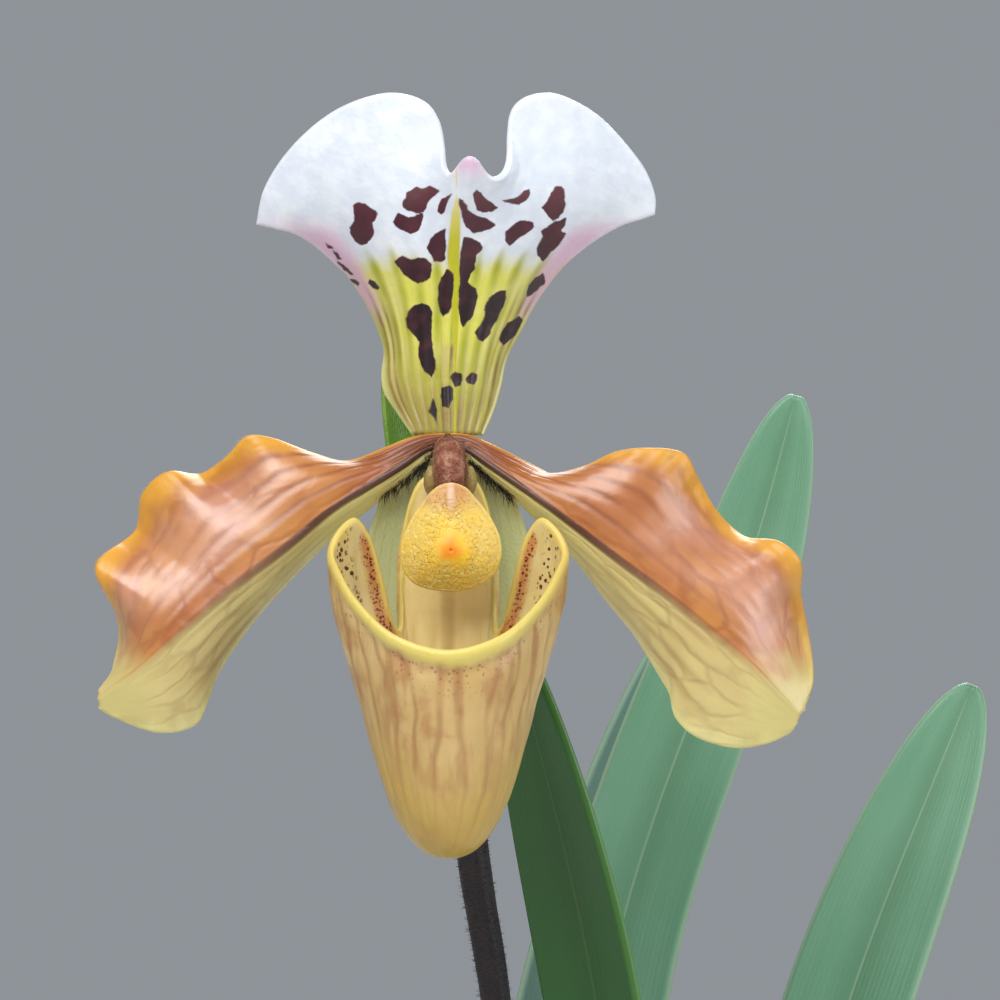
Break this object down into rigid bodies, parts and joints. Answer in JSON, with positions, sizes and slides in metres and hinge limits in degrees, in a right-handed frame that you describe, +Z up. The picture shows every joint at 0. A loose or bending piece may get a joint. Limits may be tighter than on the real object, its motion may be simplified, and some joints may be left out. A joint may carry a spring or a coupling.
{
  "type": "paphiopedilum orchid",
  "caption": "Slipper orchid with a spotted dorsal sepal, waved petals and a pouched lip on a dark scape, in a fan of strap leaves in a plain clay pot.",
  "frame": {"origin": "centre of the pot's solid base", "axes": "+Z up, the flower faces -Y, +X to the right as seen by a viewer facing the flower"},
  "size_m": [0.2334, 0.1291, 0.3612],
  "materials": {
    "clay": "matte",
    "bark": "matte",
    "crown": "matte",
    "leaf": "satin",
    "scape": "matte",
    "ovary": "matte",
    "bract": "satin",
    "dorsal_sepal": "satin",
    "synsepal": "satin",
    "petal": "gloss",
    "lip": "satin",
    "staminode": "satin",
    "column": "matte"
  },
  "bodies": {
    "root": {"pot": "clay", "bark": "bark", "crown": "crown", "scape": "scape", "ovary": "ovary", "bract": "bract", "dorsal_sepal": "dorsal_sepal", "synsepal": "synsepal", "petal_left": "petal", "petal_right": "petal", "lip": "lip", "staminode": "staminode", "column": "column", "leaf_1": "leaf", "leaf_2": "leaf", "leaf_3": "leaf", "leaf_4": "leaf", "leaf_5": "leaf", "leaf_6": "leaf", "leaf_7": "leaf", "leaf_8": "leaf"}
  },
  "joints": []
}
